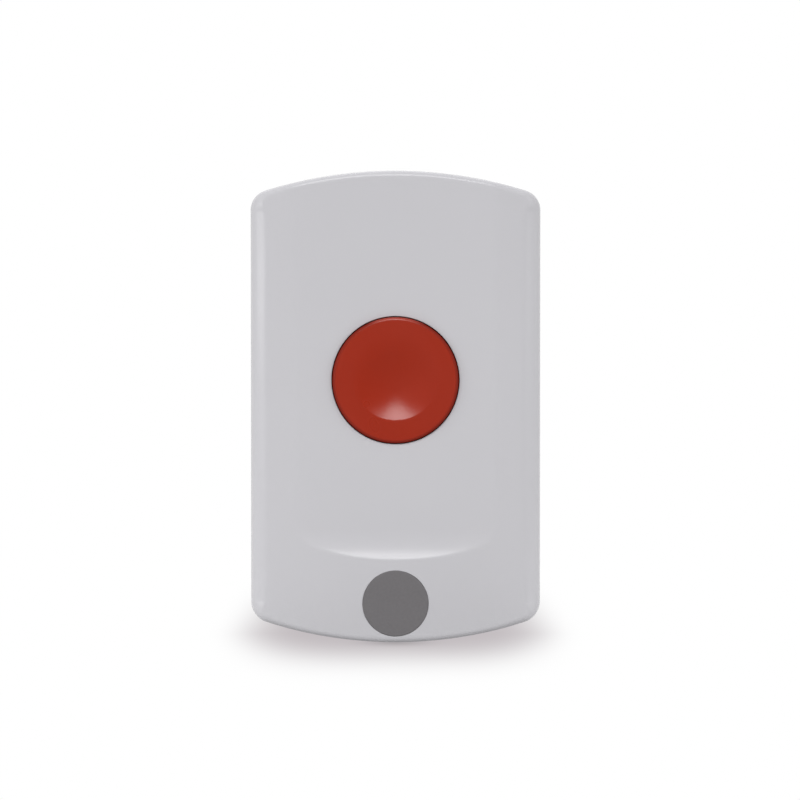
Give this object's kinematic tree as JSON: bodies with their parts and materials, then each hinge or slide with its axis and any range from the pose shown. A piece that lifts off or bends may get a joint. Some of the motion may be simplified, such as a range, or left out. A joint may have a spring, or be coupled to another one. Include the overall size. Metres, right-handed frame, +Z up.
{
  "type": "wireless panic button",
  "caption": "Slim upright wall box with a crowned front, a flat panel that ramps up to a chin, a large dished round push button and a plain disc inlaid below.",
  "frame": {"origin": "centre of the back face that lies on the wall, half way up the case", "axes": "+X to the right seen from the front, +Y into the wall, +Z up; the button faces -Y"},
  "size_m": [0.053, 0.02, 0.086],
  "materials": {
    "case_plastic": "moulded, semi gloss",
    "button_plastic": "moulded, satin gloss",
    "badge_plastic": "satin",
    "board_laminate": "solder mask",
    "black_plastic": "moulded, matt",
    "screw_steel": "zinc plated",
    "spring_steel": "drawn wire",
    "tinned_steel": "tinned sheet",
    "cell_can": "nickel plated",
    "antenna_wire": "enamelled copper",
    "capacitor_can": "drawn can",
    "chip_ceramic": "fired ceramic"
  },
  "bodies": {
    "case": {"front_cover": "case_plastic", "back_cover": "case_plastic", "cover_screw": "screw_steel", "badge_disc": "badge_plastic", "return_spring": "spring_steel", "circuit_board": "board_laminate", "board_screws": "screw_steel", "switch_housing": "black_plastic", "switch_frame": "tinned_steel", "coin_cell": "cell_can", "cell_holder": "black_plastic", "cell_clip": "tinned_steel", "cell_contact": "tinned_steel", "radio_shield": "tinned_steel", "radio_chip": "black_plastic", "coil_antenna": "antenna_wire", "controller_chip": "black_plastic", "crystal": "tinned_steel", "reservoir_capacitor": "capacitor_can", "chip_resistors": "chip_ceramic", "chip_capacitors": "chip_ceramic"},
    "button": {"panic_button": "button_plastic"},
    "plunger": {"switch_plunger": "black_plastic"}
  },
  "joints": [
    {"name": "button_press", "type": "slide", "parent": "case", "child": "button", "axis": [0, 1, 0], "range_m": [0, 0.0008], "stiffness_N_per_m": 1500, "springref_m": -0.001, "deforming": ["return_spring"]},
    {"name": "plunger_press", "type": "slide", "parent": "case", "child": "plunger", "axis": [0, 1, 0], "range_m": [0, 0.0008]}
  ],
  "couplings": [
    {"joint": "plunger_press", "follows": "button_press", "ratio": 1}
  ]
}
